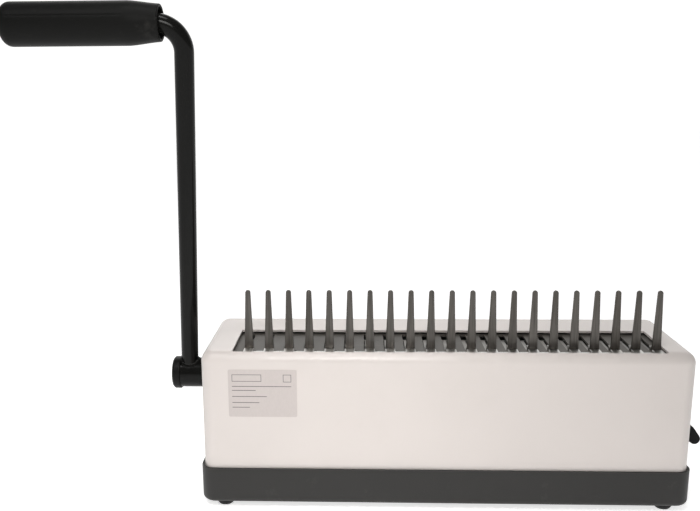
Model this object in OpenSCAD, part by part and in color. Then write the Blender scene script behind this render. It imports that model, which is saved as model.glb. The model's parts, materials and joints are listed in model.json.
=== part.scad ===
// Manual comb binding machine: it punches the edge of a sheaf and spreads plastic combs open.
// Millimetres. X runs to the operator's right, Y runs to the rear and Z runs up from the desk.
// Pieces are drawn about the middle of the row of tines. placed() then shifts them so that the
// origin is on the desk, under the middle of the whole machine's box.

/* [Comb] */
// Distance between neighbouring tines
pitch = 14.2875; // [14.2:0.0125:14.3]
// Number of tines, hooks and punch pins (odd)
tine_count = 21; // [17:2:21]
// Height of the tine tips above the desk
tine_top = 156.6; // [150:0.1:164]
// Width of a tine at its foot
tine_foot_w = 6.4; // [5.5:0.1:6.8]
// Width of a tine just below its tip
tine_tip_w = 3.6; // [3:0.1:4.5]

/* [Case] */
// Width of the sheet-steel case
case_w = 342; // [340:0.5:346]
// Distance of the case's middle from the middle tine, towards the handle
case_shift = 4.6; // [4:0.1:5.4]
// Height of the case's top above the desk
case_top = 116.4; // [116.4:0.2:120.4]
// Rear face of the case behind the row of tines
case_rear = 18.7; // [18:0.1:20]
// Front face of the case, in front of the row of tines
case_front = -80; // [-84:0.5:-79]
// Thickness of the case's sheet
case_t = 1.6; // [1.2:0.1:1.8]
// Length of the opening in the case's top
opening_w = 300; // [299.6:0.2:302]

/* [Base] */
// Front edge of the base, in front of the row of tines
base_front = -190; // [-200:1:-184]
// How far the base stands out past the case at each side
base_margin = 2.2; // [2:0.1:3]
// Height of the base's rim above the desk
rim_z = 30.9; // [30.4:0.1:31.9]

/* [Handle] */
// Lean of the handle arm to the rear at rest, in degrees
arm_lean = 15; // [12:0.1:20]
// Lean of the arm towards the case, in degrees
arm_inset = 4.24; // [3:0.01:4.6]
// Height of the grip's axis above the shaft, along the arm's lean
arm_length = 255.8; // [230:0.1:275]
// Diameter of the arm
arm_d = 12.5; // [11:0.1:13]
// Largest diameter of the grip
grip_d = 27.1; // [26:0.1:32]
// Outer end of the grip
grip_end_x = 285.5; // [275:0.1:300]

/* [Punch] */
// Clear height of the paper throat
throat_h = 4.6; // [4.4:0.1:5]
// Height of the paper table's top above the desk
table_z = 41.4; // [41.4:0.1:41.8]
// Width of one punched hole
punch_w = 8; // [7:0.1:8.4]
// Length of one punched hole, across the paper's edge
punch_l = 3; // [2.5:0.1:3]

/* [Hidden] */
$fn = 64;

// Tines
first_x = -(tine_count - 1) / 2 * pitch;
tines = [for (i = [0 : tine_count - 1]) first_x + i * pitch];
comb_end = -first_x;
tine_t = 2;

// Case
case_x0 = case_shift - case_w / 2;
case_x1 = case_shift + case_w / 2;
case_z0 = 28.4;
case_corner_r = 8.5;
case_edge_r = 8;
label_x0 = 108;
label_w = 48;
label_z0 = 69.6;
label_h = 34.5;
inner_top = case_top - case_t;
opening_x0 = -comb_end - 4;
opening_x1 = opening_x0 + opening_w;
opening_y0 = -40;
opening_y1 = case_rear - 4.9;

// Base
base_x0 = case_x0 - base_margin;
base_x1 = case_x1 + base_margin;
base_y1 = case_rear + 1.8;
base_z0 = 4.4;
base_wall = 2;
floor_z = base_z0 + 2.5;
base_corner_r = 10;
base_edge_r = 4;
foot_r = 6.5;
foot_bevel = 2.2;
foot_seat = 0.8;
boss_r = 4.4;
foot_well = base_z0 - 1.5;

// Chassis and side plates
plate_t = 3;
left_in = case_x0 + 9.4;
left_out = left_in - plate_t;
right_in = case_x1 - 8.6;
right_out = right_in + plate_t;
plate_y0 = -76;
plate_y1 = 12;
chassis_top = floor_z + 2;
flange_t = 2;
flange_w = 7.5;

// Opener, from the top down
opener_top = case_top - 3.2;
opener_t = 1.5;
opener_under = opener_top - opener_t;
rest_top = opener_top + 1.4;
hook_top = opener_under - 0.3;
hook_t = 1.5;
carrier_top = opener_under - 4.8;
carrier_y0 = -31.5;
carrier_y1 = 8;
carrier_x0 = -comb_end - 4.6;
carrier_x1 = comb_end + 7.6;
hook_x0 = 0.5;
hook_x1 = 3.4;
stud_y = -22;
stud_r = 3;
stud_xs = [for (n = [0, 6, 13, 19]) first_x + n * pitch + 9.1];

// Shaft and gearing
shaft_y = -27;
shaft_z = 87;
shaft_r = 5.5;
gear_module = 1.25;
pressure_angle = 20;
punch_teeth = 13;
hook_teeth = 17;
backlash = 0.36;
punch_gear_r = gear_module * punch_teeth / 2;
hook_gear_r = gear_module * hook_teeth / 2;
rack_w = 6;
left_rack_x = left_in + 1.8;
right_rack_x = right_in - 2.3 - rack_w;
rack_xs = [left_rack_x, right_rack_x];
hook_gear_xs = [-120, 121];
hook_gear_w = 8;
handle_max = 105;
punch_travel = punch_gear_r * handle_max * PI / 180;
hook_travel = hook_gear_r * handle_max * PI / 180;

// Punch
punch_y = -60;
throat_top = table_z + throat_h;
die_y0 = -68;
die_y1 = -48;
die_lower_z = table_z - 7;
die_upper_top = throat_top + 8;
bar_z0 = die_upper_top + punch_travel + 1.6;
bar_z1 = bar_z0 + 13.5;
bar_y0 = -66;
bar_y1 = -54;
pin_z0 = throat_top + 1.4;
pin_gap = 0.2;
tie_z = 104.4;
tie_y = -62;
spring_xs = [-100, 109];

// Handle
sleeve_x0 = case_x1 + 0.9;
sleeve_x1 = sleeve_x0 + 21;
cap_x1 = sleeve_x1 + 6;
cap_r = 12;
arm_x = sleeve_x0 + 15.1;
bend_r = 17;
bend_turn = 90 + arm_inset;
grip_length = 98.9;
grip_x0 = grip_end_x - grip_length;
grip_x = arm_x - arm_length * tan(arm_inset);
grip_y = shaft_y + arm_length * sin(arm_lean);
tang_end_x = grip_end_x - 12;
tang_r = arm_d / 2 - 0.6;

// Margin selector
lever_y = -8;
lever_z = 52.8;
lever_pin_r = 3;
lever_root_r = 5;
lever_root = [case_x0 - 5.6, lever_y, lever_z - 1.8];
lever_bulb_r = 3.9;
lever_bulb = [case_x0 - 10.5, lever_y, lever_z - 7];
lever_drop_t = 7;
stop_z0 = table_z + 1.2;
stop_z1 = stop_z0 + 2;
stop_y = -55.6;

// Paper table, edge guide and drawer
table_t = 2;
table_y1 = case_front - 2.6;
guide_slot_y = -118;
guide_face_x = -148.8;
drawer_y0 = -72;
drawer_y1 = -48;
drawer_z0 = chassis_top + 1;
drawer_z1 = 26;
drawer_x1 = comb_end + 9;

// Overall box
box_x0 = lever_bulb[0] - lever_bulb_r;
box_y1 = grip_y + grip_d / 2;
origin_x = (box_x0 + grip_end_x) / 2;
origin_y = (base_front + box_y1) / 2;

// ---- shared shapes ----

module placed() {
    translate([-origin_x, -origin_y, 0]) children();
}

module box(x0, x1, y0, y1, z0, z1) {
    translate([x0, y0, z0]) cube([x1 - x0, y1 - y0, z1 - z0]);
}

module rod_x(x0, x1, y, z, r) {
    translate([x0, y, z]) rotate([0, 90, 0]) cylinder(r = r, h = x1 - x0);
}

module rod_y(x, y0, y1, z, r) {
    translate([x, y1, z]) rotate([90, 0, 0]) cylinder(r = r, h = y1 - y0);
}

module rod_z(x, y, z0, z1, r) {
    translate([x, y, z0]) cylinder(r = r, h = z1 - z0);
}

module round_rect(x0, x1, y0, y1, r) {
    translate([x0 + r, y0]) square([x1 - x0 - 2 * r, y1 - y0]);
    translate([x0, y0 + r]) square([x1 - x0, y1 - y0 - 2 * r]);
    for (x = [x0 + r, x1 - r], y = [y0 + r, y1 - r]) translate([x, y]) circle(r);
}

// A plate with rounded corners, between two heights
module pad(x0, x1, y0, y1, z0, z1, r) {
    translate([0, 0, z0]) linear_extrude(z1 - z0) round_rect(x0, x1, y0, y1, r);
}

// Section of a block whose two lower edges are rounded
module edge_section(w0, w1, h, r) {
    translate([w0 + r, 0]) square([w1 - w0 - 2 * r, h]);
    translate([w0, r]) square([w1 - w0, h - r]);
    for (w = [w0 + r, w1 - r]) translate([w, r]) circle(r);
}

// Block with rounded upright corners and a rounded lower edge all round
module soft_block(x0, x1, y0, y1, h, corner_r, edge_r) {
    translate([x0 + corner_r, 0, 0]) rotate([90, 0, 90])
        linear_extrude(x1 - x0 - 2 * corner_r) edge_section(y0, y1, h, edge_r);
    translate([0, y1 - corner_r, 0]) rotate([90, 0, 0])
        linear_extrude(y1 - y0 - 2 * corner_r) edge_section(x0, x1, h, edge_r);
    for (x = [x0 + corner_r, x1 - corner_r], y = [y0 + corner_r, y1 - corner_r])
        translate([x, y, 0]) rotate_extrude() intersection() {
            edge_section(-corner_r, corner_r, h, edge_r);
            square([corner_r, h]);
        }
}

module soft_top_block(x0, x1, y0, y1, z0, z1, corner_r, edge_r) {
    translate([0, 0, z1]) mirror([0, 0, 1]) soft_block(x0, x1, y0, y1, z1 - z0, corner_r, edge_r);
}

// Pan-head screw standing on z = 0 and pointing down
module pan_screw(head_r, head_h, shank_r, shank_l) {
    difference() {
        union() {
            cylinder(r = head_r, h = head_h * 0.5);
            translate([0, 0, head_h * 0.5]) cylinder(r1 = head_r, r2 = head_r * 0.72, h = head_h * 0.5);
            translate([0, 0, -shank_l]) cylinder(r = shank_r, h = shank_l);
        }
        for (a = [0, 90]) rotate([0, 0, a])
            translate([-head_r * 0.55, -0.35, head_h * 0.45]) cube([head_r * 1.1, 0.7, head_h]);
    }
}

// Involute tooth: one flank as points at rising radius, as [radius, half angle in degrees]
function inv_deg(a) = (tan(a) - a * PI / 180) * 180 / PI;
function half_angle(r, base_r, teeth, cut) =
    90 / teeth + inv_deg(pressure_angle) - (r > base_r ? inv_deg(acos(base_r / r)) : 0)
    - cut / (2 * gear_module * teeth) * 180 / PI * 2;
function polar(r, a) = [r * cos(a), r * sin(a)];

module gear_section(teeth) {
    pitch_r = gear_module * teeth / 2;
    base_r = pitch_r * cos(pressure_angle);
    tip_r = pitch_r + gear_module * 0.95;
    root_r = pitch_r - gear_module * 1.2;
    radii = [for (i = [0 : 4]) max(base_r, root_r) + (tip_r - max(base_r, root_r)) * i / 4];
    cut = backlash / 2;
    points = [for (k = [0 : teeth - 1]) let (c = 360 / teeth * k) each concat(
        [polar(root_r, c - half_angle(base_r, base_r, teeth, cut))],
        [for (r = radii) polar(r, c - half_angle(r, base_r, teeth, cut))],
        [for (i = [4 : -1 : 0]) polar(radii[i], c + half_angle(radii[i], base_r, teeth, cut))],
        [polar(root_r, c + half_angle(base_r, base_r, teeth, cut))]
    )];
    polygon(points);
}

// Straight rack along +X with its pitch line at y = 0, its teeth towards +Y and a gap at x = 0
module rack_section(x0, x1, depth) {
    step = PI * gear_module;
    tip = gear_module * 0.72;
    root = gear_module * 1.15;
    half = step / 4 - backlash / 4;
    slope = tan(pressure_angle);
    n0 = floor(x0 / step);
    n1 = ceil(x1 / step);
    intersection() {
        union() {
            translate([x0, -depth]) square([x1 - x0, depth - root]);
            for (n = [n0 : n1]) translate([(n + 0.5) * step, 0])
                polygon([
                    [-half - root * slope, -root - 0.2], [-half - root * slope, -root], [-half + tip * slope, tip],
                    [half - tip * slope, tip], [half + root * slope, -root], [half + root * slope, -root - 0.2]
                ]);
        }
        translate([x0, -depth]) square([x1 - x0, depth + tip + 1]);
    }
}

// ---- base ----

module base_tray() {
    color("#363432") placed() difference() {
        union() {
            difference() {
                translate([0, 0, base_z0])
                    soft_block(base_x0, base_x1, base_front, base_y1, rim_z - base_z0,
                        base_corner_r, base_edge_r);
                translate([0, 0, floor_z])
                    soft_block(base_x0 + base_wall, base_x1 - base_wall, base_front + base_wall,
                        base_y1 - base_wall + 0.4, rim_z, base_corner_r - base_wall, base_edge_r - base_wall);
            }
            // ledges that carry the case
            box(case_x0 + 12, case_x1 - 12, case_rear - 5, case_rear + 0.2, floor_z - 1, case_z0 - 0.1);
            box(case_x0 + 2, case_x1 - 2, case_front - 2, case_front + 2.4, floor_z - 1, case_z0 - 0.1);
            // bosses over the feet
            for (x = foot_xs(), y = foot_ys()) rod_z(x, y, floor_z - 1, floor_z + 8, boss_r);
        }
        // drawer window
        box(base_x0 - 1, base_x0 + 20, drawer_y0 - 0.6, drawer_y1 + 0.6, drawer_z0 - 0.4, drawer_z1 + 0.6);
        // foot screw holes and recesses
        for (x = foot_xs(), y = foot_ys()) {
            rod_z(x, y, base_z0 - 1, floor_z + 5, 1.6);
            rod_z(x, y, base_z0 - 1, base_z0 + foot_seat, foot_r + 0.2);
        }
    }
}

function foot_xs() = [case_shift - 157, case_shift + 157];
function foot_ys() = [base_front + 12, 9.6];

module rubber_feet() {
    color("#1c1c1c") placed() for (x = foot_xs(), y = foot_ys()) difference() {
        union() {
            rod_z(x, y, foot_bevel, base_z0 + foot_seat, foot_r);
            translate([x, y, 0]) cylinder(r1 = foot_r - 1.5, r2 = foot_r, h = foot_bevel);
        }
        rod_z(x, y, -1, foot_well, 3.6);
        rod_z(x, y, -1, base_z0 + 2, 1.7);
    }
}

module foot_screws() {
    color("#8d8f91") placed() for (x = foot_xs(), y = foot_ys())
        translate([x, y, foot_well - 0.02]) rotate([180, 0, 0]) pan_screw(3.2, 1.4, 1.5, 7);
}

module chassis_plate() {
    color("#9a9c9c") placed() difference() {
        pad(left_out - 2.4, right_out + 2, plate_y0, plate_y1, floor_z, chassis_top, 4);
        for (x = [case_shift - 100, case_shift, case_shift + 100]) pad(x - 20, x + 20, -36, -6, 0, 20, 6);
        for (x = foot_xs()) rod_z(x, foot_ys()[1], 0, 20, boss_r + 0.6);
        for (p = flange_screws()) rod_z(p[0], p[1], 0, 20, 1.7);
    }
}

// ---- side plates ----

function flange_screws() = [
    for (x = [left_in + 6, right_in - 6], y = [-36, -12]) [x, y]
];

module side_section() {
    // seen from the right: first axis Y, second axis Z
    difference() {
        union() {
            translate([plate_y0, chassis_top]) square([plate_y1 - plate_y0, opener_under - chassis_top - 12]);
            translate([plate_y0 + 12, table_z]) square([plate_y1 - plate_y0 - 12, opener_under - table_z]);
            translate([plate_y0 + 12, opener_under - 12]) circle(12);
        }
        translate([-58, shaft_z - 8]) square([12, 8]);
        for (z = [shaft_z - 14, shaft_z + 4]) translate([6, z]) circle(4);
    }
}

module side_plate(x_in, side) {
    // side is -1 for the left plate and 1 for the right one
    x_out = x_in + side * plate_t;
    difference() {
        union() {
            translate([min(x_in, x_out), 0, 0]) rotate([90, 0, 90]) linear_extrude(plate_t) side_section();
            // bent flanges: one on the chassis plate and one under the opener plate
            box(min(x_in, x_in - side * 13), max(x_in, x_in - side * 13), -43, 0, chassis_top, chassis_top + 2.5);
            box(min(x_in, x_in - side * flange_w), max(x_in, x_in - side * flange_w), -29, plate_y1,
                opener_under - flange_t, opener_under);
        }
        rod_x(x_in - 20, x_in + 20, shaft_y, shaft_z, 9);
        for (z = die_screw_zs(), y = die_screw_ys()) rod_x(x_in - 20, x_in + 20, y, z, 1.7);
        rod_x(x_in - 20, x_in + 20, tie_y, tie_z, 2.6);
        for (p = flange_screws()) rod_z(p[0], p[1], 0, 20, 1.7);
        for (y = opener_screw_ys()) rod_z(x_in - side * 3.6, y, opener_under - 5, opener_under + 5, 1.3);
    }
}

module side_plate_left() {
    color("#a8aaab") placed() difference() {
        side_plate(left_in, -1);
        rod_x(left_out - 1, left_in + 1, lever_y, lever_z, 4.05);
        box(left_out - 1, left_in + 1, drawer_y0 - 1, drawer_y1 + 1, 0, drawer_z1 + 1);
    }
}

module side_plate_right() {
    color("#a8aaab") placed() side_plate(right_in, 1);
}

module frame_screws() {
    color("#c9cacb") placed() for (p = flange_screws())
        translate([p[0], p[1], chassis_top + 2.5]) pan_screw(3, 2, 1.6, 4.4);
}

// ---- case ----

module case_cover() {
    color("#dcd5d0") placed() difference() {
        soft_top_block(case_x0, case_x1, case_front, case_rear, case_z0, case_top, case_corner_r, case_edge_r);
        soft_top_block(case_x0 + case_t, case_x1 - case_t, case_front + case_t, case_rear - case_t,
            case_z0 - 5, inner_top, case_corner_r - case_t, case_edge_r - case_t);
        pad(opening_x0, opening_x1, opening_y0, opening_y1, case_top - 10, case_top + 5, 1.2);
        // shaft and selector holes
        rod_x(case_x1 - 5, case_x1 + 5, shaft_y, shaft_z, 7.5);
        rod_x(case_x0 - 5, case_x0 + 5, lever_y, lever_z, 4.5);
        // paper throat in the front wall
        box(-comb_end - 12, comb_end + 12, case_front - 5, case_front + 5, table_z - 2.4, throat_top + 2.4);
    }
}

module throat_lip() {
    // moulded mouth that lines the slot in the front wall and leads the sheaf in
    x0 = -comb_end - 11.8;
    x1 = comb_end + 11.8;
    y0 = case_front - 2.2;
    y1 = case_front + 9;
    color("#2c2b2a") placed() {
        for (up = [0, 1]) {
            z = up ? throat_top : table_z;
            flip = up ? 1 : -1;
            translate([x0, 0, 0]) rotate([90, 0, 90]) linear_extrude(x1 - x0) polygon([
                [y1, z], [y1, z + flip * 2.1], [case_front - 0.1, z + flip * 2.1],
                [case_front - 0.1, z + flip * (up ? 5 : 2.1)], [y0, z + flip * (up ? 5 : 2.1)],
                [y0, z + flip * (up ? 2.4 : 0.7)], [case_front + 3, z]
            ]);
        }
        for (x = [x0, x1 - 2]) box(x, x + 2, y0, y1, table_z, throat_top);
    }
}

module rear_label() {
    color("#ece8e6") placed()
        translate([0, case_rear + 0.2, 0]) rotate([90, 0, 0]) linear_extrude(0.2)
            round_rect(label_x0, label_x0 + label_w, label_z0, label_z0 + label_h, 1);
}

// ---- opener on top ----

function opener_screw_ys() = [-20, 5];

module opener_plate() {
    color("#5f5c57") placed() difference() {
        pad(left_in + 1, right_in - 2, -46, 14, opener_under, opener_top, 2);
        for (x = tines) {
            box(x - 0.3, x + 4.2, opening_y0 + 1, -1.6, opener_under - 1, opener_top + 1);
            box(x - 3.45, x + 3.45, -1.2, 1.2, opener_under - 1, opener_top + 1);
            box(x - 5.4, x - 3.7, 2, 7, opener_under - 1, opener_top + 1);
        }
        for (x = stud_xs) rod_z(x, stud_y, opener_under - 5, opener_top + 5, 2);
        for (x = [left_in + 3.6, right_in - 3.6], y = opener_screw_ys())
            rod_z(x, y, opener_under - 5, opener_top + 5, 1.4);
    }
}

module opener_screws() {
    color("#b9babb") placed() for (x = [left_in + 3.6, right_in - 3.6], y = opener_screw_ys())
        translate([x, y, opener_top]) pan_screw(2.2, 1.2, 1.2, 4);
}

module comb_rest_rail() {
    color("#b9b9b6") placed() {
        box(-comb_end - 3.4, comb_end + 3.4, 8, 11.8, opener_top, rest_top);
        for (x = tines) box(x - 3.4, x + 3.4, 1.3, 8, opener_top, rest_top);
    }
}

// Outline of one tine above the plate, with a round tip
module tine_section(z0) {
    r = tine_tip_w / 2;
    polygon([
        [-tine_foot_w / 2, z0], [tine_foot_w / 2, z0],
        [tine_foot_w / 2, opener_top], [r, tine_top - r], [-r, tine_top - r], [-tine_foot_w / 2, opener_top]
    ]);
    translate([0, tine_top - r]) circle(r);
}

module tine_comb() {
    color("#55524c") placed() {
        box(-comb_end - 5, comb_end + 5, -tine_t / 2, tine_t / 2, carrier_top + 0.8, opener_under - 0.05);
        for (x = tines) translate([x, tine_t / 2, 0]) rotate([90, 0, 0])
            linear_extrude(tine_t) tine_section(opener_under - 1);
    }
}

module guide_studs() {
    // shouldered studs that hang the hook plate under the opener plate
    color("#8a8c8e") placed() for (x = stud_xs) {
        rod_z(x, stud_y, carrier_top - hook_t - 0.4, opener_under, stud_r);
        rod_z(x, stud_y, opener_under, opener_top, 1.95);
        rod_z(x, stud_y, carrier_top - hook_t - 1.6, carrier_top - hook_t - 0.4, stud_r + 2);
    }
}

// ---- hook plate, which slides towards the operator ----

module hook_plate() {
    color("#aeaeab") placed() difference() {
        union() {
            box(carrier_x0, carrier_x1, carrier_y0, carrier_y1, carrier_top - hook_t, carrier_top);
            box(carrier_x0, carrier_x1, carrier_y0, carrier_y0 + hook_t, carrier_top - hook_t, hook_top);
            for (x = tines) {
                box(x + hook_x0, x + hook_x1, carrier_y0, -2.2, hook_top - hook_t, hook_top);
                translate([x + hook_x0, 0, 0]) rotate([90, 0, 90])
                    linear_extrude(hook_x1 - hook_x0) hook_section();
            }
        }
        for (x = stud_xs) pad(x - stud_r - 0.4, x + stud_r + 0.4, stud_y - stud_r - 0.4,
            stud_y + stud_r + 0.6 + hook_travel, 90, carrier_top + 1, stud_r + 0.35);
    }
}

// Upright hook, curled over towards the operator
module hook_section() {
    y1 = -2.2;
    z = hook_top - hook_t;
    polygon([
        [y1, z], [y1, z + 4.6], [y1 - 0.9, z + 5.8], [y1 - 3, z + 5.8], [y1 - 3.4, z + 5],
        [y1 - 3.2, z + 4.4], [y1 - 1.7, z + 4.3], [y1 - 1.5, z + 3.8], [y1 - 1.5, z]
    ]);
}

module hook_racks() {
    z_pitch = shaft_z + hook_gear_r;
    depth = carrier_top - hook_t - z_pitch;
    color("#77797b") placed() for (x = hook_gear_xs)
        translate([x, shaft_y, z_pitch]) rotate([90, 0, 90]) linear_extrude(hook_gear_w)
            mirror([0, 1]) rack_section(-6, hook_travel + 5, depth);
}

// ---- shaft and handle ----

module main_shaft() {
    color("#8e9092") placed() difference() {
        rod_x(left_out - 4.4, cap_x1 - 2, shaft_y, shaft_z, shaft_r);
        translate([left_out - 3.9, shaft_y, shaft_z]) rotate([0, 90, 0]) rotate_extrude()
            translate([shaft_r - 0.8, 0]) square([2, 1.1]);
        for (x = gear_pin_xs()) rod_y(x, shaft_y - 20, shaft_y + 20, shaft_z, 1.25);
    }
}

function gear_pin_xs() = [for (x = hook_gear_xs) x + hook_gear_w + 3];

module shaft_clip() {
    color("#b4b5b6") placed() translate([left_out - 3.8, shaft_y, shaft_z]) rotate([0, 90, 0]) difference() {
        cylinder(r = shaft_r + 2.6, h = 0.9);
        translate([0, 0, -1]) cylinder(r = shaft_r - 0.75, h = 3);
        translate([-2.6, -12, -1]) cube([5.2, 12, 3]);
    }
}

module punch_pinions() {
    color("#77797b") placed() for (x = rack_xs) difference() {
        translate([x, shaft_y, shaft_z]) rotate([90, 0, 90]) rotate([0, 0, 180])
            linear_extrude(rack_w) gear_section(punch_teeth);
        rod_x(x - 1, x + 20, shaft_y, shaft_z, shaft_r + 0.02);
    }
}

module hook_pinions() {
    color("#77797b") placed() for (x = hook_gear_xs) difference() {
        union() {
            translate([x, shaft_y, shaft_z]) rotate([90, 0, 90]) rotate([0, 0, 90])
                linear_extrude(hook_gear_w) gear_section(hook_teeth);
            rod_x(x + hook_gear_w, x + hook_gear_w + 6, shaft_y, shaft_z, shaft_r + 3);
        }
        rod_x(x - 1, x + 20, shaft_y, shaft_z, shaft_r + 0.02);
        rod_y(x + hook_gear_w + 3, shaft_y - 20, shaft_y + 20, shaft_z, 1.25);
    }
}

module pinion_pins() {
    color("#b4b5b6") placed() for (x = gear_pin_xs())
        rod_y(x, shaft_y - shaft_r - 3.4, shaft_y + shaft_r + 3.4, shaft_z, 1.22);
}

module shaft_bushes() {
    color("#9c7d3f") placed() {
        bush(left_out - 2.5, left_in + 1.3, left_in + 0.2);
        bush(right_in - 1.8, right_out + 2.5, right_in - 1.8);
    }
}

// Plain bush with one flange, running on the shaft
module bush(x0, x1, flange_x) {
    difference() {
        union() {
            rod_x(x0, x1, shaft_y, shaft_z, 8.95);
            rod_x(flange_x, flange_x + (flange_x < 0 ? 1.1 : 1.6), shaft_y, shaft_z, 11);
        }
        rod_x(x0 - 1, x1 + 1, shaft_y, shaft_z, shaft_r + 0.05);
    }
}

module torsion_spring() {
    // close coils round the shaft between the right pinion and its side plate, with an anchor leg
    wire_r = 1;
    coil_r = shaft_r + 2.6;
    coils = 6;
    coil_pitch = 1.9 * wire_r;
    x0 = 138;
    x1 = x0 + coils * coil_pitch;
    color("#6f7173") placed() {
        translate([x0, shaft_y, shaft_z]) rotate([0, 90, 0]) rotate_extrude() for (i = [0 : coils])
            translate([coil_r, i * coil_pitch]) circle(wire_r, $fn = 24);
        rod_z(x1, shaft_y + coil_r, shaft_z - 14, shaft_z + 4, wire_r * 0.98);
        rod_x(x1, right_in, shaft_y + coil_r, shaft_z - 13, wire_r * 0.96);
    }
}

module crank_sleeve() {
    color("#1e1e1c") placed() difference() {
        rod_x(sleeve_x0, sleeve_x1, shaft_y, shaft_z, 11);
        rod_x(sleeve_x0 - 1, sleeve_x1 + 1, shaft_y, shaft_z, shaft_r + 0.02);
        leaned() rod_z(0, 0, 0, 40, 3.05);
    }
}

module hub_cap() {
    color("#232322") placed() difference() {
        union() {
            rod_x(sleeve_x1, cap_x1 - 1.5, shaft_y, shaft_z, cap_r);
            translate([cap_x1 - 1.5, shaft_y, shaft_z]) rotate([0, 90, 0])
                cylinder(r1 = cap_r, r2 = cap_r - 1.5, h = 1.5);
        }
        rod_x(sleeve_x1 - 1, cap_x1 - 1.8, shaft_y, shaft_z, shaft_r + 0.02);
    }
}

// Frame of the arm: origin where the arm's axis meets the shaft's, +Z along the arm
module leaned() {
    translate([arm_x, shaft_y, shaft_z]) rotate([-arm_lean, 0, 0]) rotate([0, -arm_inset, 0]) children();
}

module handle_arm() {
    reach = arm_length / cos(arm_inset);
    tangent = bend_r * tan(bend_turn / 2);
    color("#181816") placed() leaned() {
        difference() {
            rod_z(0, 0, 4, reach - tangent, arm_d / 2);
            // the foot is cut to sit round the sleeve
            rotate([0, arm_inset, 0]) rod_x(-40, 40, 0, 0, 11.02);
        }
        // a stud below the arm goes into the sleeve
        rod_z(0, 0, shaft_r + 0.6, 12, 3);
        // bend towards the grip
        translate([bend_r, 0, reach - tangent]) rotate([90, 0, 0]) intersection() {
            rotate_extrude() translate([bend_r, 0]) circle(arm_d / 2);
            translate([0, 0, -arm_d]) linear_extrude(2 * arm_d) polygon([
                [0, 0], [-2 * bend_r, 0], [-2 * bend_r, 2 * bend_r],
                2 * bend_r * [cos(180 - bend_turn), sin(180 - bend_turn)]
            ]);
        }
        // straight tang inside the grip
        translate([0, 0, reach]) rotate([0, arm_inset, 0])
            rod_x(tangent - 1.5, tang_end_x - grip_x, 0, 0, tang_r);
    }
}

module grip() {
    length = grip_end_x - grip_x0;
    r = grip_d / 2;
    neck_r = r - 2.15;
    taper = 20;
    end_r = 6;
    bore_r = tang_r + 0.02;
    color("#232322") placed() translate([grip_x0, grip_y, shaft_z + arm_length * cos(arm_lean)])
        rotate([0, 90, 0]) difference() {
            rotate_extrude() {
                polygon([
                    [0, 0.8], [neck_r - 0.8, 0], [neck_r, 0.8], [neck_r + 0.4, taper * 0.35],
                    [r - 0.4, taper * 0.8], [r, taper], [r, length - end_r], [0, length - end_r]
                ]);
                translate([0, length - end_r]) square([r - end_r, end_r]);
                intersection() {
                    translate([r - end_r, length - end_r]) circle(end_r);
                    translate([0, length - end_r]) square([r, end_r]);
                }
            }
            translate([0, 0, -1]) cylinder(r = bore_r, h = tang_end_x - grip_x0 + 1.2);
            // hollow rim where the arm goes in
            translate([0, 0, -1]) cylinder(r = neck_r - 1.8, h = 11);
        }
}

// ---- punch ----

function die_screw_zs() = [table_z - 3.5, throat_top + 4];
function die_screw_ys() = [-64, -52];

module die_bar(z0, z1) {
    difference() {
        box(left_in, right_in, die_y0, die_y1, z0, z1);
        for (x = tines) box(x - punch_w / 2 - pin_gap, x + punch_w / 2 + pin_gap,
            punch_y - punch_l / 2 - pin_gap, punch_y + punch_l / 2 + pin_gap, z0 - 1, z1 + 1);
        for (y = die_screw_ys(), z = die_screw_zs()) if (z > z0 && z < z1) {
            rod_x(left_in - 1, left_in + 10, y, z, 1.5);
            rod_x(right_in - 10, right_in + 1, y, z, 1.5);
        }
    }
}

module die_lower() {
    color("#8b8d8f") placed() die_bar(die_lower_z, table_z);
}

module die_upper() {
    // the ends reach down to the lower bar and set the throat's height
    color("#808284") placed() {
        die_bar(throat_top, die_upper_top);
        box(left_in, -comb_end - 8, die_y0, die_y1, table_z, throat_top);
        box(comb_end + 8, right_in, die_y0, die_y1, table_z, throat_top);
    }
}

module die_screws() {
    color("#c9cacb") placed() for (y = die_screw_ys(), z = die_screw_zs()) {
        translate([left_out, y, z]) rotate([0, -90, 0]) pan_screw(2.6, 1.8, 1.45, 11);
        translate([right_out, y, z]) rotate([0, 90, 0]) pan_screw(2.6, 1.8, 1.45, 11);
    }
}

module punch_bar() {
    color("#737577") placed() difference() {
        box(left_rack_x + rack_w, right_rack_x, bar_y0, bar_y1, bar_z0, bar_z1);
        for (x = tines) box(x - punch_w / 2 - 0.05, x + punch_w / 2 + 0.05,
            punch_y - punch_l / 2 - 0.05, punch_y + punch_l / 2 + 0.05, bar_z0 - 1, bar_z1 + 1);
        for (x = [left_rack_x + rack_w, right_rack_x], y = bar_screw_ys())
            rod_x(x - 6, x + 6, y, (bar_z0 + bar_z1) / 2, 1.65);
    }
}

module punch_pins() {
    // each pin has a shallow notch across its end, which shears the paper from its corners in
    color("#a7a9ab") placed() for (x = tines) translate([x, punch_y + punch_l / 2, 0]) rotate([90, 0, 0])
        linear_extrude(punch_l) polygon([
            [-punch_w / 2, pin_z0], [0, pin_z0 + 1.2], [punch_w / 2, pin_z0],
            [punch_w / 2, bar_z1], [-punch_w / 2, bar_z1]
        ]);
}

module pin_keeper() {
    color("#9a9c9e") placed()
        box(left_rack_x + rack_w + 2, right_rack_x - 2, bar_y0 + 1, bar_y1 - 1, bar_z1, bar_z1 + 2);
}

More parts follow.
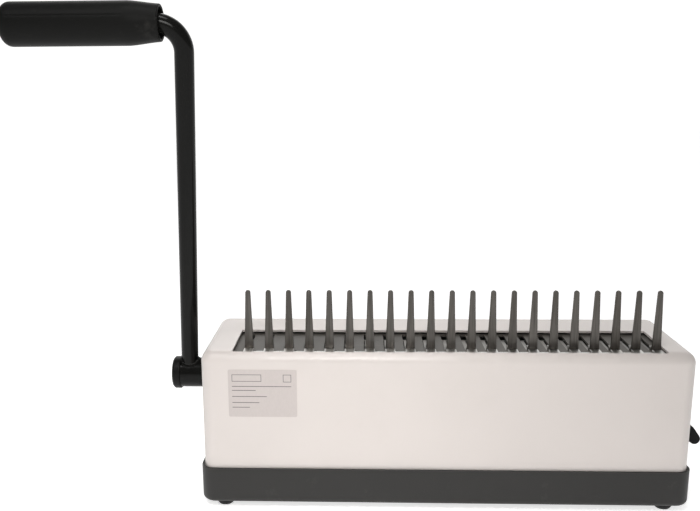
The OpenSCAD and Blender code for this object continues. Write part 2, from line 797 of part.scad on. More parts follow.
module punch_racks() {
    // upright racks at the bar's two ends; each has an arm that carries the bar
    y_pitch = shaft_y - punch_gear_r;
    depth = 9;
    color("#6b6d6f") placed() for (x = rack_xs) difference() {
        union() {
            translate([x, y_pitch, shaft_z]) rotate([90, 0, 90]) linear_extrude(rack_w)
                mirror([1, 0]) rotate(90) rack_section(bar_z0 - shaft_z, punch_travel + 3, depth);
            box(x, x + rack_w, bar_y0, y_pitch - depth + 1, bar_z0, bar_z1);
        }
        for (y = bar_screw_ys()) rod_x(x - 1, x + rack_w + 1, y, (bar_z0 + bar_z1) / 2, 1.65);
    }
}

function bar_screw_ys() = [-63.8, -56.2];

module bar_screws() {
    color("#c9cacb") placed() {
        z = (bar_z0 + bar_z1) / 2;
        for (y = bar_screw_ys()) {
            translate([left_rack_x, y, z]) rotate([0, -90, 0]) pan_screw(2.2, 1.2, 1.6, 11);
            translate([right_rack_x + rack_w, y, z]) rotate([0, 90, 0]) pan_screw(2.2, 1.2, 1.6, 11);
        }
    }
}

module rack_guides() {
    // acetal blocks that hold the racks in mesh
    y1 = shaft_y - punch_gear_r - 9 - 0.3;
    color("#e6e4dc") placed() {
        box(left_in, left_rack_x + rack_w, y1 - 5, y1, bar_z1 + 5, bar_z1 + 17);
        box(right_rack_x, right_in, y1 - 5, y1, bar_z1 + 5, bar_z1 + 17);
    }
}

module tie_bar() {
    color("#8e9092") placed() {
        rod_x(left_in, right_in, tie_y, tie_z, 4);
        rod_x(left_out - 0.5, right_out + 0.5, tie_y, tie_z, 2.55);
    }
}

module return_springs() {
    // extension springs from the tie bar down to the punch bar
    wire_r = 0.6;
    coil_r = 3;
    z0 = bar_z1 + 3.2;
    z1 = tie_z - 5.8;
    coils = floor((z1 - z0) / (2 * wire_r + 0.25));
    color("#7b7d7f") placed() for (x = spring_xs) {
        for (i = [0 : coils]) translate([x, tie_y, z0 + i * (z1 - z0) / coils])
            rotate_extrude() translate([coil_r, 0]) circle(wire_r, $fn = 16);
        rod_z(x, tie_y + coil_r, z0, z1, wire_r * 0.9);
        translate([x, tie_y, tie_z]) rotate([0, 90, 0])
            rotate_extrude() translate([4.75, 0]) circle(wire_r, $fn = 16);
        rod_y(x, tie_y - coil_r, tie_y + coil_r, z1 + 0.35, wire_r * 0.9);
        rod_z(x, tie_y + coil_r, bar_z1 + 2.05, z0, wire_r);
    }
}

// ---- margin selector ----

module margin_lever() {
    color("#1b1b1a") placed() {
        rod_x(case_x0 - 2, left_in + 0.7, lever_y, lever_z, 4);
        rod_x(case_x0 - 3.6, case_x0 - 0.5, lever_y, lever_z, 7.5);
        // thumb piece, down and out from the hub
        thumb_drop(lever_root, lever_bulb, lever_root_r, lever_bulb_r, lever_drop_t);
        // crank pin inside the frame
        rod_x(left_in + 0.2, left_in + 1.6, lever_y, lever_z, 5.2);
        rod_x(left_in + 1.5, left_in + 5.6, lever_y, lever_z + lever_pin_r, lever_pin_r / 2);
    }
}

// Flat drop in the plane y = lever_y: two discs and the tangents between them
module thumb_drop(p, q, r0, r1, thickness) {
    d = norm(q - p);
    along = [q[0] - p[0], q[2] - p[2]] / d;
    across = [-along[1], along[0]];
    s = (r0 - r1) / d;
    c = sqrt(1 - s * s);
    p2 = [p[0], p[2]];
    q2 = [q[0], q[2]];
    translate([0, lever_y + thickness / 2, 0]) rotate([90, 0, 0]) linear_extrude(thickness) {
        translate(p2) circle(r0);
        translate(q2) circle(r1);
        polygon([
            p2 + r0 * (s * along + c * across),
            q2 + r1 * (s * along + c * across),
            q2 + r1 * (s * along - c * across),
            p2 + r0 * (s * along - c * across)
        ]);
    }
}

module lever_clip() {
    color("#b4b5b6") placed() difference() {
        rod_x(left_out - 1.5, left_out - 0.4, lever_y, lever_z, 6.4);
        rod_x(left_out - 5, left_out + 5, lever_y, lever_z, 4.02);
    }
}

module margin_stop() {
    ear_x0 = left_in + 2.4;
    ear_x1 = ear_x0 + 1.6;
    color("#8f9193") placed() difference() {
        union() {
            box(-comb_end - 7, comb_end + 7, stop_y, -45, stop_z0, stop_z1);
            box(ear_x0, comb_end + 7, -46.4, -42, stop_z0, stop_z1);
            box(ear_x0, ear_x0 + 5, -46.4, lever_y + 5, stop_z0, stop_z1);
            box(ear_x0, ear_x1, lever_y - 5, lever_y + 5, stop_z0, lever_z + 8);
        }
        // upright slot for the selector's crank pin
        slot_r = lever_pin_r / 2 + 0.3;
        box(ear_x0 - 1, ear_x1 + 1, lever_y - slot_r, lever_y + slot_r, lever_z - 1, lever_z + 5);
    }
}

// ---- paper table, edge guide and drawer ----

module paper_table() {
    x0 = base_x0 + 1;
    x1 = base_x1 - 1;
    color("#42403e") placed() difference() {
        union() {
            soft_top_block(x0, x1, base_front + 1, table_y1, rim_z + 0.1, table_z, 9, 3);
            box(x0, x1, table_y1 - 9.5, table_y1, rim_z + 0.1, table_z - 3);
        }
        soft_top_block(x0 + table_t, x1 - table_t, base_front + 1 + table_t, table_y1 - table_t,
            rim_z - 5, table_z - table_t, 7, 1.5);
        // slot that the edge guide slides in
        pad(guide_face_x - 14, guide_face_x + 22, guide_slot_y - 3, guide_slot_y + 3, table_z - 10,
            table_z + 5, 0.6);
    }
}

module edge_guide() {
    x1 = guide_face_x;
    color("#1f1e1d") placed() difference() {
        union() {
            box(x1 - 3, x1, -146, table_y1 - 4, table_z + 0.3, table_z + 9);
            pad(x1 - 15, x1, guide_slot_y - 12, guide_slot_y + 12, table_z + 0.3, table_z + 3.4, 2);
            box(x1 - 11.5, x1 - 4.5, guide_slot_y - 2.6, guide_slot_y + 2.6, table_z - table_t - 0.2, table_z + 1);
        }
        rod_z(x1 - 8, guide_slot_y, table_z - 10, table_z + 10, 2.05);
    }
}

module guide_knob() {
    x = guide_face_x - 8;
    color("#262524") placed() {
        rod_z(x, guide_slot_y, table_z - table_t - 3.4, table_z + 6, 2);
        difference() {
            union() {
                rod_z(x, guide_slot_y, table_z + 3.7, table_z + 9, 4.4);
                translate([x, guide_slot_y, table_z + 9]) cylinder(r1 = 4.4, r2 = 3.6, h = 1);
            }
            for (a = [0 : 30 : 330]) translate([x, guide_slot_y, 0]) rotate([0, 0, a])
                rod_z(4.8, 0, table_z + 3, table_z + 11, 0.7);
        }
    }
}

module guide_nut() {
    x = guide_face_x - 8;
    color("#b4b5b6") placed() difference() {
        box(x - 4, x + 4, guide_slot_y - 5, guide_slot_y + 5, table_z - table_t - 2.6, table_z - table_t - 0.4);
        rod_z(x, guide_slot_y, table_z - 12, table_z, 2.05);
    }
}

module chip_drawer() {
    x0 = base_x0 + 0.2;
    wall = 1.6;
    color("#2f2e2c") placed() difference() {
        union() {
            box(x0 + 2, drawer_x1, drawer_y0, drawer_y1, drawer_z0, drawer_z1 - 0.6);
            box(x0, x0 + 2.4, drawer_y0 - 0.2, drawer_y1 + 0.2, drawer_z0, drawer_z1 + 0.2);
        }
        box(x0 + 2.4, drawer_x1 - wall, drawer_y0 + wall, drawer_y1 - wall, drawer_z0 + wall, drawer_z1 + 5);
        // finger notch in the front
        rod_y(x0 - 3.2, drawer_y0 + 5, drawer_y1 - 5, drawer_z1 - 6, 4.4);
    }
}

base_tray();
rubber_feet();
foot_screws();
chassis_plate();
side_plate_left();
side_plate_right();
frame_screws();
case_cover();
rear_label();
opener_plate();
opener_screws();
comb_rest_rail();
tine_comb();
guide_studs();
die_lower();
die_upper();
die_screws();
rack_guides();
tie_bar();
return_springs();
shaft_bushes();
torsion_spring();
paper_table();
throat_lip();
main_shaft();
shaft_clip();
punch_pinions();
hook_pinions();
pinion_pins();
crank_sleeve();
hub_cap();
handle_arm();
grip();
punch_bar();
punch_pins();
pin_keeper();
punch_racks();
bar_screws();
hook_plate();
hook_racks();
margin_lever();
lever_clip();
margin_stop();
edge_guide();
guide_knob();
guide_nut();
chip_drawer();
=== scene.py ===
"""Looks of a manual comb binding machine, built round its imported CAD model.

Everything is in metres in the CAD model's frame: X to the operator's right, Y to the rear, and Z up
from the desk.
"""

import json
import math

import bmesh
import bpy
from mathutils import Matrix, Vector, noise

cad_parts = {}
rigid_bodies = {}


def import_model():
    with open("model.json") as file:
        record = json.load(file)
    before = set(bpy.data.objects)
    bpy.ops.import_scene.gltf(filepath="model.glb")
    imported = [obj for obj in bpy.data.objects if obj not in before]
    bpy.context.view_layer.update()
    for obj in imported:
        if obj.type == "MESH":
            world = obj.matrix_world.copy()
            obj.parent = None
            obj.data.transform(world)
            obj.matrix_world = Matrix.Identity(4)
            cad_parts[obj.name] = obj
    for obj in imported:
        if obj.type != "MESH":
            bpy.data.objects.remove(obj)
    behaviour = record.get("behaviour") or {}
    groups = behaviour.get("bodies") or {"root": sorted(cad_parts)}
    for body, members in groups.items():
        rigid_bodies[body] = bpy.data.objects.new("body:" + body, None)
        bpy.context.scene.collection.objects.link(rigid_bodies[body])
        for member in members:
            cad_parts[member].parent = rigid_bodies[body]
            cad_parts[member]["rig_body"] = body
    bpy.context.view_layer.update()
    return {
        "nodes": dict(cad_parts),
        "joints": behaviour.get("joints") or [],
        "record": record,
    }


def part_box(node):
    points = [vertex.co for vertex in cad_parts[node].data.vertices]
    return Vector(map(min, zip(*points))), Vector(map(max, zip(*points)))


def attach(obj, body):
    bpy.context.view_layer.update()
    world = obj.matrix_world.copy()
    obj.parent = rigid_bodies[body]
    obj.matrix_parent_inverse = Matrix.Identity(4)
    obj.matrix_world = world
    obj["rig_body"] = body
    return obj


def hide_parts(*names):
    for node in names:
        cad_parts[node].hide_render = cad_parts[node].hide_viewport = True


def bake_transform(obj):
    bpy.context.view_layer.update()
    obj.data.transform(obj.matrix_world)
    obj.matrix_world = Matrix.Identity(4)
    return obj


MM = 0.001

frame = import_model()
nodes = frame["nodes"]
slots = {row["node"]: row["material_slot"] for row in frame["record"]["subparts"]}
joints = {joint["name"]: joint for joint in frame["joints"]}
body_of_node = {node: piece["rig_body"] for node, piece in nodes.items()}


# ---- shader building ----

class Shader:
    """A material and short calls that add and wire its nodes."""

    def __init__(self, name):
        self.material = bpy.data.materials.new(name)
        self.material.use_nodes = True
        self.tree = self.material.node_tree
        self.surface = self.tree.nodes["Principled BSDF"]
        self.place = self.add("ShaderNodeTexCoord").outputs["Object"]

    def add(self, kind, inputs=None, **settings):
        node = self.tree.nodes.new(kind)
        for name, value in settings.items():
            setattr(node, name, value)
        for name, value in (inputs or {}).items():
            self.feed(node.inputs[name], value)
        return node

    def feed(self, socket, value):
        if isinstance(value, bpy.types.NodeSocket):
            self.tree.links.new(value, socket)
        elif isinstance(value, tuple) and len(value) == 3 and socket.type == "RGBA":
            socket.default_value = (*value, 1.0)
        else:
            socket.default_value = value

    def set(self, **values):
        """Principled sockets, with underscores for the spaces in their names."""
        for name, value in values.items():
            self.feed(self.surface.inputs[name.replace("_", " ")], value)

    def noise(self, scale, detail=3.0, roughness=0.55, stretch=None, distortion=0.0):
        place = self.place
        if stretch:
            place = self.add("ShaderNodeMapping", {"Vector": place, "Scale": stretch}).outputs["Vector"]
        made = self.add("ShaderNodeTexNoise", {
            "Vector": place, "Scale": scale, "Detail": detail,
            "Roughness": roughness, "Distortion": distortion,
        })
        return made.outputs["Fac"]

    def cells(self, scale):
        made = self.add("ShaderNodeTexVoronoi", {"Vector": self.place, "Scale": scale}, feature="F1")
        return made.outputs["Distance"]

    def span(self, value, low, high, to_low=0.0, to_high=1.0):
        made = self.add("ShaderNodeMapRange", {
            "Value": value, "From Min": low, "From Max": high, "To Min": to_low, "To Max": to_high,
        })
        made.clamp = True
        return made.outputs["Result"]

    def math(self, operation, a, b=0.0):
        made = self.add("ShaderNodeMath", operation=operation)
        self.feed(made.inputs[0], a)
        self.feed(made.inputs[1], b)
        return made.outputs[0]

    def mix(self, share, a, b):
        made = self.add("ShaderNodeMix", data_type="RGBA")
        self.feed(made.inputs["Factor"], share)
        self.feed(made.inputs[6], a)
        self.feed(made.inputs[7], b)
        return made.outputs[2]

    def near_edge(self, radius):
        """1 on convex and concave edges, 0 on open faces."""
        rounded = self.add("ShaderNodeBevel", {"Radius": radius}, samples=4).outputs["Normal"]
        flat = self.add("ShaderNodeNewGeometry").outputs["Normal"]
        match = self.add("ShaderNodeVectorMath", {0: rounded, 1: flat}, operation="DOT_PRODUCT")
        return self.span(match.outputs["Value"], 0.995, 0.90)

    def bump(self, layers):
        """Stacks (height, distance) layers of bump, in metres, into the surface's normal."""
        normal = None
        for height, distance in layers:
            inputs = {"Height": height, "Distance": distance, "Strength": 1.0}
            if normal is not None:
                inputs["Normal"] = normal
            normal = self.add("ShaderNodeBump", inputs).outputs["Normal"]
        self.set(Normal=normal)


def tint(colour, factor):
    """A colour made lighter or darker."""
    return tuple(min(1.0, c * factor) for c in colour)


def powder_coat(name, colour):
    """Satin powder coat: faint mottling, orange peel, patches of dust, and painted shade: a patchy darker
    band along its edges and in its corners.
    """
    s = Shader(name)
    cloud = s.noise(9.0, 4.0)
    fine = s.noise(1500.0, 2.0)
    peel = s.noise(420.0, 2.0, 0.4)
    base = s.mix(s.span(cloud, 0.35, 0.7), tint(colour, 0.975), tint(colour, 1.02))
    base = s.mix(s.span(fine, 0.66, 0.8, 0.0, 0.12), base, tint(colour, 0.7))
    smudge = s.span(s.noise(26.0, 5.0, 0.65), 0.55, 0.75, 0.0, 0.05)
    base = s.mix(smudge, base, (0.42, 0.36, 0.31))
    # painted shade: the colour is darkened in patches along convex edges and in concave corners
    edge = s.math("MULTIPLY", s.near_edge(0.6 * MM), s.span(s.noise(60.0, 4.0), 0.45, 0.7, 0.1, 0.6))
    s.set(Base_Color=s.mix(edge, base, tint(colour, 0.8)))
    rough = s.span(cloud, 0.3, 0.7, 0.34, 0.42)
    s.set(Roughness=s.math("ADD", rough, s.span(fine, 0.3, 0.7, -0.03, 0.04)))
    s.set(Specular_IOR_Level=0.5, Coat_Weight=0.12, Coat_Roughness=0.22)
    s.bump([(peel, 0.012 * MM), (fine, 0.004 * MM)])
    return s.material


def moulded_plastic(name, colour, roughness, grain=1100.0, depth=0.03, scuff=0.5, shine=0.3):
    """Spark-eroded moulded plastic: fine grain, slight flow marks, pale rubbed edges and dust."""
    s = Shader(name)
    grain_height = s.cells(grain)
    flow = s.noise(7.0, 3.0, 0.5, stretch=(0.4, 1.0, 1.6), distortion=0.6)
    dust = s.noise(55.0, 6.0, 0.7)
    base = s.mix(s.span(flow, 0.3, 0.7), tint(colour, 0.86), tint(colour, 1.16))
    base = s.mix(s.span(dust, 0.6, 0.85, 0.0, 0.08), base, (0.32, 0.3, 0.28))
    worn = s.math("MULTIPLY", s.near_edge(0.5 * MM), s.span(s.noise(90.0, 4.0), 0.35, 0.65, 0.1, scuff))
    s.set(Base_Color=s.mix(worn, base, tint(colour, 2.4)))
    varied = s.span(flow, 0.3, 0.7, roughness - 0.05, roughness + 0.06)
    s.set(Roughness=s.math("SUBTRACT", varied, s.math("MULTIPLY", worn, 0.12)))
    s.set(Specular_IOR_Level=shine)
    s.bump([(grain_height, depth * MM), (s.noise(260.0, 2.0), 0.01 * MM)])
    return s.material


def brushed_steel(name, colour, roughness, stretch, stain=0.25, streak=900.0):
    """Ground or brushed steel: fine parallel scratches, brown stains, bright rubbed edges."""
    s = Shader(name)
    lines = s.noise(streak, 3.0, 0.6, stretch=stretch)
    long_lines = s.noise(streak * 0.35, 2.0, 0.5, stretch=stretch)
    patches = s.noise(34.0, 5.0, 0.62)
    base = s.mix(s.span(lines, 0.3, 0.7), tint(colour, 0.72), tint(colour, 1.25))
    base = s.mix(s.span(patches, 0.45, 0.75, 0.0, stain), base, tint((0.9, 0.72, 0.52), sum(colour) / 4))
    specks = s.span(s.cells(640.0), 0.16, 0.05, 0.0, 0.5)
    base = s.mix(s.math("MULTIPLY", specks, s.span(patches, 0.5, 0.62)), base, tint(colour, 2.2))
    bright = s.math("MULTIPLY", s.near_edge(0.35 * MM), 0.55)
    s.set(Base_Color=s.mix(bright, base, tint(colour, 1.9)), Metallic=1.0)
    varied = s.span(long_lines, 0.3, 0.7, roughness - 0.07, roughness + 0.09)
    s.set(Roughness=s.math("ADD", varied, s.span(patches, 0.4, 0.7, 0.0, 0.08)))
    s.set(Anisotropic=0.35)
    s.bump([(lines, 0.006 * MM), (long_lines, 0.008 * MM)])
    return s.material


def dark_enamel(name, colour, roughness):
    """Baked enamel on sheet steel, with faint handling scratches and dust specks."""
    s = Shader(name)
    patches = s.noise(22.0, 5.0, 0.6)
    scratch = s.noise(340.0, 2.0, 0.5, stretch=(0.06, 1.0, 1.0), distortion=0.4)
    base = s.mix(s.span(patches, 0.35, 0.7), tint(colour, 0.85), tint(colour, 1.15))
    base = s.mix(s.span(scratch, 0.68, 0.76, 0.0, 0.25), base, tint(colour, 1.9))
    base = s.mix(s.span(s.cells(420.0), 0.1, 0.03, 0.0, 0.35), base, tint(colour, 2.3))
    worn = s.math("MULTIPLY", s.near_edge(0.4 * MM), 0.5)
    s.set(Base_Color=s.mix(worn, base, tint(colour, 2.0)))
    s.set(Roughness=s.span(patches, 0.3, 0.7, roughness - 0.05, roughness + 0.08))
    s.set(Specular_IOR_Level=0.28)
    s.bump([(s.noise(700.0, 2.0), 0.01 * MM), (scratch, 0.004 * MM)])
    return s.material


def gloss_enamel(name, colour):
    """Thick black stove enamel with orange peel, small dust nibs and rubbed edges."""
    s = Shader(name)
    patches = s.noise(18.0, 4.0)
    base = s.mix(s.span(patches, 0.3, 0.7), tint(colour, 0.8), tint(colour, 1.3))
    worn = s.math("MULTIPLY", s.near_edge(0.4 * MM), s.span(s.noise(120.0, 4.0), 0.5, 0.7, 0.0, 0.6))
    s.set(Base_Color=s.mix(worn, base, (0.10, 0.095, 0.09)))
    s.set(Roughness=s.span(patches, 0.3, 0.7, 0.17, 0.27))
    s.set(Specular_IOR_Level=0.06, Coat_Weight=0.14, Coat_Roughness=0.06)
    nibs = s.span(s.cells(240.0), 0.07, 0.0)
    s.bump([(s.noise(260.0, 2.0, 0.4), 0.03 * MM), (nibs, 0.03 * MM)])
    return s.material


def rubber(name, colour):
    """Dull rubber, greyed by dust."""
    s = Shader(name)
    patches = s.noise(80.0, 5.0, 0.6)
    base = s.mix(s.span(patches, 0.4, 0.7), colour, tint(colour, 2.2))
    s.set(Base_Color=s.mix(s.span(s.noise(900.0, 2.0), 0.6, 0.8, 0.0, 0.3), base, (0.09, 0.085, 0.08)))
    s.set(Roughness=s.span(patches, 0.3, 0.7, 0.68, 0.84), Specular_IOR_Level=0.35)
    s.bump([(s.noise(1300.0, 3.0), 0.03 * MM)])
    return s.material


def plated(name, colour, roughness):
    """Zinc plate: bright, slightly clouded, with a warm passivation bloom."""
    s = Shader(name)
    cloud = s.noise(160.0, 4.0, 0.6)
    base = s.mix(s.span(cloud, 0.3, 0.7), tint(colour, 0.8), tint(colour, 1.15))
    base = s.mix(s.span(s.noise(420.0, 3.0), 0.5, 0.8, 0.0, 0.35), base, (0.62, 0.58, 0.42))
    s.set(Base_Color=base, Metallic=1.0)
    s.set(Roughness=s.span(cloud, 0.3, 0.7, roughness - 0.06, roughness + 0.08))
    s.bump([(s.noise(1600.0, 2.0), 0.005 * MM)])
    return s.material


def sintered(name, colour, roughness=0.42):
    """Porous sintered metal with an oil film."""
    s = Shader(name)
    pores = s.cells(1500.0)
    oil = s.noise(70.0, 4.0)
    base = s.mix(s.span(pores, 0.25, 0.05, 0.0, 0.6), tint(colour, 1.1), tint(colour, 0.45))
    s.set(Base_Color=s.mix(s.span(oil, 0.4, 0.7, 0.0, 0.5), base, tint(colour, 0.7)), Metallic=1.0)
    s.set(Roughness=s.span(oil, 0.35, 0.7, roughness, roughness - 0.18))
    s.bump([(pores, 0.02 * MM)])
    return s.material


def acetal(name, colour):
    """Natural acetal, faintly translucent."""
    s = Shader(name)
    flow = s.noise(30.0, 3.0)
    s.set(Base_Color=s.mix(s.span(flow, 0.3, 0.7), tint(colour, 0.93), tint(colour, 1.03)))
    s.set(Roughness=s.span(flow, 0.3, 0.7, 0.32, 0.42), Subsurface_Weight=0.1)
    s.bump([(s.noise(500.0, 2.0), 0.01 * MM)])
    return s.material


# the sticker's ruled form: sizes as shares of its width or height, but the blur in metres
LABEL_MARGIN = 0.055
BOX_BORDER = 0.008
RULE_HEIGHT = 0.014
INK_BLUR = 0.0022 * 0.05


def printed_label(name, colour):
    """Semi-gloss paper with an empty ruled form: blank boxes and lines, and no lettering."""
    s = Shader(name)
    low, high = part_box("rear_label")
    width, height = high.x - low.x, high.z - low.z
    split = s.add("ShaderNodeSeparateXYZ", {"Vector": s.place})
    across = s.span(split.outputs["X"], high.x, low.x)
    down = s.span(split.outputs["Z"], high.z, low.z)

    def inside(x0, x1, y0, y1):
        """1 inside a rectangle given as shares of the label, from its top corner nearest the handle."""
        part = None
        for value, start, end, size in ((across, x0, x1, width), (down, y0, y1, height)):
            blur = INK_BLUR / size
            rise = s.span(value, start - blur, start + blur)
            fall = s.span(value, end + blur, end - blur)
            both = s.math("MULTIPLY", rise, fall)
            part = both if part is None else s.math("MULTIPLY", part, both)
        return part

    def outline(x0, x1, y0, y1):
        """1 on the border of such a rectangle."""
        down_border = BOX_BORDER * width / height
        hole = inside(x0 + BOX_BORDER, x1 - BOX_BORDER, y0 + down_border, y1 - down_border)
        return s.math("SUBTRACT", inside(x0, x1, y0, y1), hole)

    ink = outline(LABEL_MARGIN, 0.485, 0.10, 0.25)
    ink = s.math("MAXIMUM", ink, outline(0.80, 0.92, 0.10, 0.26))
    for x1, y in ((0.92, 0.345), (0.40, 0.43), (0.56, 0.56), (0.45, 0.69), (0.31, 0.79)):
        ink = s.math("MAXIMUM", ink, inside(LABEL_MARGIN, x1, y, y + RULE_HEIGHT))
    ink = s.math("MULTIPLY", ink, s.span(s.noise(2500.0, 2.0), 0.25, 0.5, 0.7, 0.95))
    fibre = s.noise(900.0, 4.0, 0.6, stretch=(1.0, 1.0, 0.4))
    paper = s.mix(s.span(fibre, 0.3, 0.7), tint(colour, 0.97), tint(colour, 1.02))
    s.set(Base_Color=s.mix(ink, paper, (0.09, 0.085, 0.085)))
    s.set(Roughness=s.span(fibre, 0.3, 0.7, 0.36, 0.46), Specular_IOR_Level=0.4)
    s.bump([(s.noise(60.0, 2.0), 0.05 * MM), (fibre, 0.004 * MM)])
    return s.material


# stretches that draw the brushing lines out along one axis
ALONG_X = (0.03, 1.0, 1.0)
ALONG_Z = (1.0, 1.0, 0.04)
ALONG_Y = (1.0, 0.03, 1.0)

materials = {
    "case_paint": powder_coat("case_paint", (0.70, 0.645, 0.615)),
    "base_plastic": moulded_plastic("base_plastic", (0.027, 0.026, 0.0245), 0.5),
    "table_plastic": moulded_plastic("table_plastic", (0.040, 0.038, 0.036), 0.42, grain=900.0, depth=0.02),
    "foot_rubber": rubber("foot_rubber", (0.012, 0.012, 0.012)),
    "frame_steel": brushed_steel("frame_steel", (0.42, 0.43, 0.44), 0.4, ALONG_X),
    "opener_paint": dark_enamel("opener_paint", (0.088, 0.081, 0.072), 0.5),
    "tine_steel": brushed_steel("tine_steel", (0.115, 0.107, 0.098), 0.38, ALONG_Z),
    "hook_steel": brushed_steel("hook_steel", (0.27, 0.265, 0.25), 0.36, ALONG_Y),
    # the rest rail is a real ledge, but its pale colour is a painted highlight: it stands for the light
    # from above reflected on the tines' bent feet
    "rail_steel": brushed_steel("rail_steel", (0.62, 0.615, 0.6), 0.34, ALONG_Y),
    "die_steel": brushed_steel("die_steel", (0.33, 0.33, 0.34), 0.3, ALONG_X),
    "gear_steel": sintered("gear_steel", (0.2, 0.2, 0.205)),
    "bronze": sintered("bronze", (0.5, 0.32, 0.12), 0.36),
    "arm_paint": gloss_enamel("arm_paint", (0.006, 0.006, 0.0055)),
    "grip_plastic": moulded_plastic(
        "grip_plastic", (0.0095, 0.0095, 0.009), 0.46, grain=1400.0, depth=0.012, scuff=0.3, shine=0.07),
    "trim_plastic": moulded_plastic(
        "trim_plastic", (0.009, 0.009, 0.009), 0.38, grain=1300.0, depth=0.01, shine=0.1),
    "acetal": acetal("acetal", (0.8, 0.78, 0.72)),
    "screw_zinc": plated("screw_zinc", (0.6, 0.6, 0.6), 0.26),
    "spring_steel": brushed_steel("spring_steel", (0.3, 0.3, 0.31), 0.32, ALONG_X, streak=1500.0),
    "label_paper": printed_label("label_paper", (0.58, 0.525, 0.505)),
}

for node, piece in nodes.items():
    piece.data.materials.clear()
    piece.data.materials.append(materials[slots[node]])


# ---- mesh building ----

WELD_GAP = 2e-6
SLIVER = 1e-7
SAME_PLANE = math.radians(0.2)
ROUNDED_ANGLE = math.radians(32.0)


def show(name, mesh, node=None, body=None, slot=None):
    """Links a mesh as a piece. With node, it stands for that CAD node and takes its body and slot."""
    piece = bpy.data.objects.new(name, mesh)
    bpy.context.scene.collection.objects.link(piece)
    slot = slot or slots[node]
    mesh.materials.clear()
    mesh.materials.append(materials[slot])
    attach(piece, body or body_of_node[node])
    if node and not body:
        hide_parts(node)


def flat_regions(bm):
    """Groups of neighbouring faces that lie in one plane."""
    left = dict.fromkeys(bm.faces)  # a dict keeps the faces in their own order, the same in each run
    while left:
        group = [next(iter(left))]
        del left[group[0]]
        for face in group:
            for edge in face.edges:
                for other in edge.link_faces:
                    if other in left and other.normal.angle(group[0].normal, math.pi) < SAME_PLANE:
                        del left[other]
                        group.append(other)
        yield group


def without_holes(group):
    """True for a patch of faces with a single outline."""
    edges = {edge for face in group for edge in face.edges}
    corners = {corner for face in group for corner in face.verts}
    return len(corners) - len(edges) + len(group) == 1


def clean_mesh(node):
    """A CAD node's mesh with its seams welded, its simple flat faces whole and no stored normals."""
    bm = bmesh.new()
    bm.from_mesh(nodes[node].data)
    bmesh.ops.remove_doubles(bm, verts=bm.verts, dist=WELD_GAP)
    bmesh.ops.dissolve_degenerate(bm, edges=bm.edges, dist=SLIVER)
    bm.normal_update()
    for group in list(flat_regions(bm)):
        if len(group) > 1 and without_holes(group):
            bmesh.ops.dissolve_faces(bm, faces=group)
    bm.verts.index_update()
    mesh = bpy.data.meshes.new(node + "_shape")
    mesh.from_pydata([v.co.copy() for v in bm.verts], [], [[v.index for v in f.verts] for f in bm.faces])
    bm.free()
    return mesh


def soften(node, width):
    """Stands a copy with small rounded edges in for a CAD node."""
    mesh = clean_mesh(node)
    for face in mesh.polygons:
        face.use_smooth = True
    piece = bpy.data.objects.new(node + "_raw", mesh)
    bpy.context.scene.collection.objects.link(piece)
    bevel = piece.modifiers.new("edges", "BEVEL")
    bevel.width = width
    bevel.segments = 2
    bevel.limit_method = "ANGLE"
    bevel.angle_limit = ROUNDED_ANGLE
    bevel.harden_normals = True
    bevel.use_clamp_overlap = True
    bevel.miter_outer = "MITER_ARC"
    bpy.context.view_layer.update()
    done = bpy.data.meshes.new_from_object(piece.evaluated_get(bpy.context.evaluated_depsgraph_get()))
    done.name = node + "_edged"
    bpy.data.objects.remove(piece)
    show(node + "_edged", done, node=node)


# ---- camera, floor and light ----

CAMERA_RIGHT = (-0.99924, -0.03802, -0.00702)
CAMERA_UP = (0.0015, -0.21937, 0.97563)
CAMERA_PLACE = (0.01195, 0.65632, 0.2931)
LENS_MM = 44.41
SENSOR_MM = 36.0
SHIFT_ACROSS = 0.0336
SHIFT_UP = 0.0408

# the backdrop's brightness behind the machine, and all round the camera's side of it
BACKDROP_BEHIND = 1.08
BACKDROP_ELSEWHERE = 0.18
FLOOR_SIZE = 6.0
FLOOR_GLOW = 0.7


def look(camera, right, up, place):
    """Turns the camera so that its own X and Y lie along right and up."""
    x = Vector(right).normalized()
    y = Vector(up)
    y = (y - x * x.dot(y)).normalized()
    z = x.cross(y)
    turn = Matrix((x, y, z)).transposed().to_4x4()
    camera.matrix_world = Matrix.Translation(Vector(place)) @ turn


camera = bpy.data.objects.new("camera", bpy.data.cameras.new("camera"))
bpy.context.scene.collection.objects.link(camera)
bpy.context.scene.camera = camera
camera.data.sensor_width = SENSOR_MM
camera.data.lens = LENS_MM
camera.data.shift_x = SHIFT_ACROSS
camera.data.shift_y = SHIFT_UP
camera.data.clip_start = 0.05
look(camera, CAMERA_RIGHT, CAMERA_UP, CAMERA_PLACE)


def softbox(name, place, aim, width, height, power, colour=(1.0, 1.0, 1.0), spread=180.0):
    """A rectangular lamp. power is in watts and spread, its beam's full angle, in degrees."""
    light = bpy.data.lights.new(name, "AREA")
    light.shape = "RECTANGLE"
    light.size = width
    light.size_y = height
    light.energy = power
    light.spread = math.radians(spread)
    light.color = colour
    holder = bpy.data.objects.new(name, light)
    bpy.context.scene.collection.objects.link(holder)
    holder.location = Vector(place)
    holder.rotation_euler = (Vector(aim) - Vector(place)).to_track_quat("-Z", "Y").to_euler()


world = bpy.data.worlds.new("studio")
bpy.context.scene.world = world
world.use_nodes = True
backdrop = world.node_tree.nodes["Background"]
backdrop.inputs["Color"].default_value = (1.0, 0.995, 0.985, 1.0)
heading = world.node_tree.nodes.new("ShaderNodeTexCoord")
parts = world.node_tree.nodes.new("ShaderNodeSeparateXYZ")
falloff = world.node_tree.nodes.new("ShaderNodeMapRange")
falloff.interpolation_type = "SMOOTHSTEP"
world.node_tree.links.new(heading.outputs["Generated"], parts.inputs["Vector"])
world.node_tree.links.new(parts.outputs["Y"], falloff.inputs["Value"])
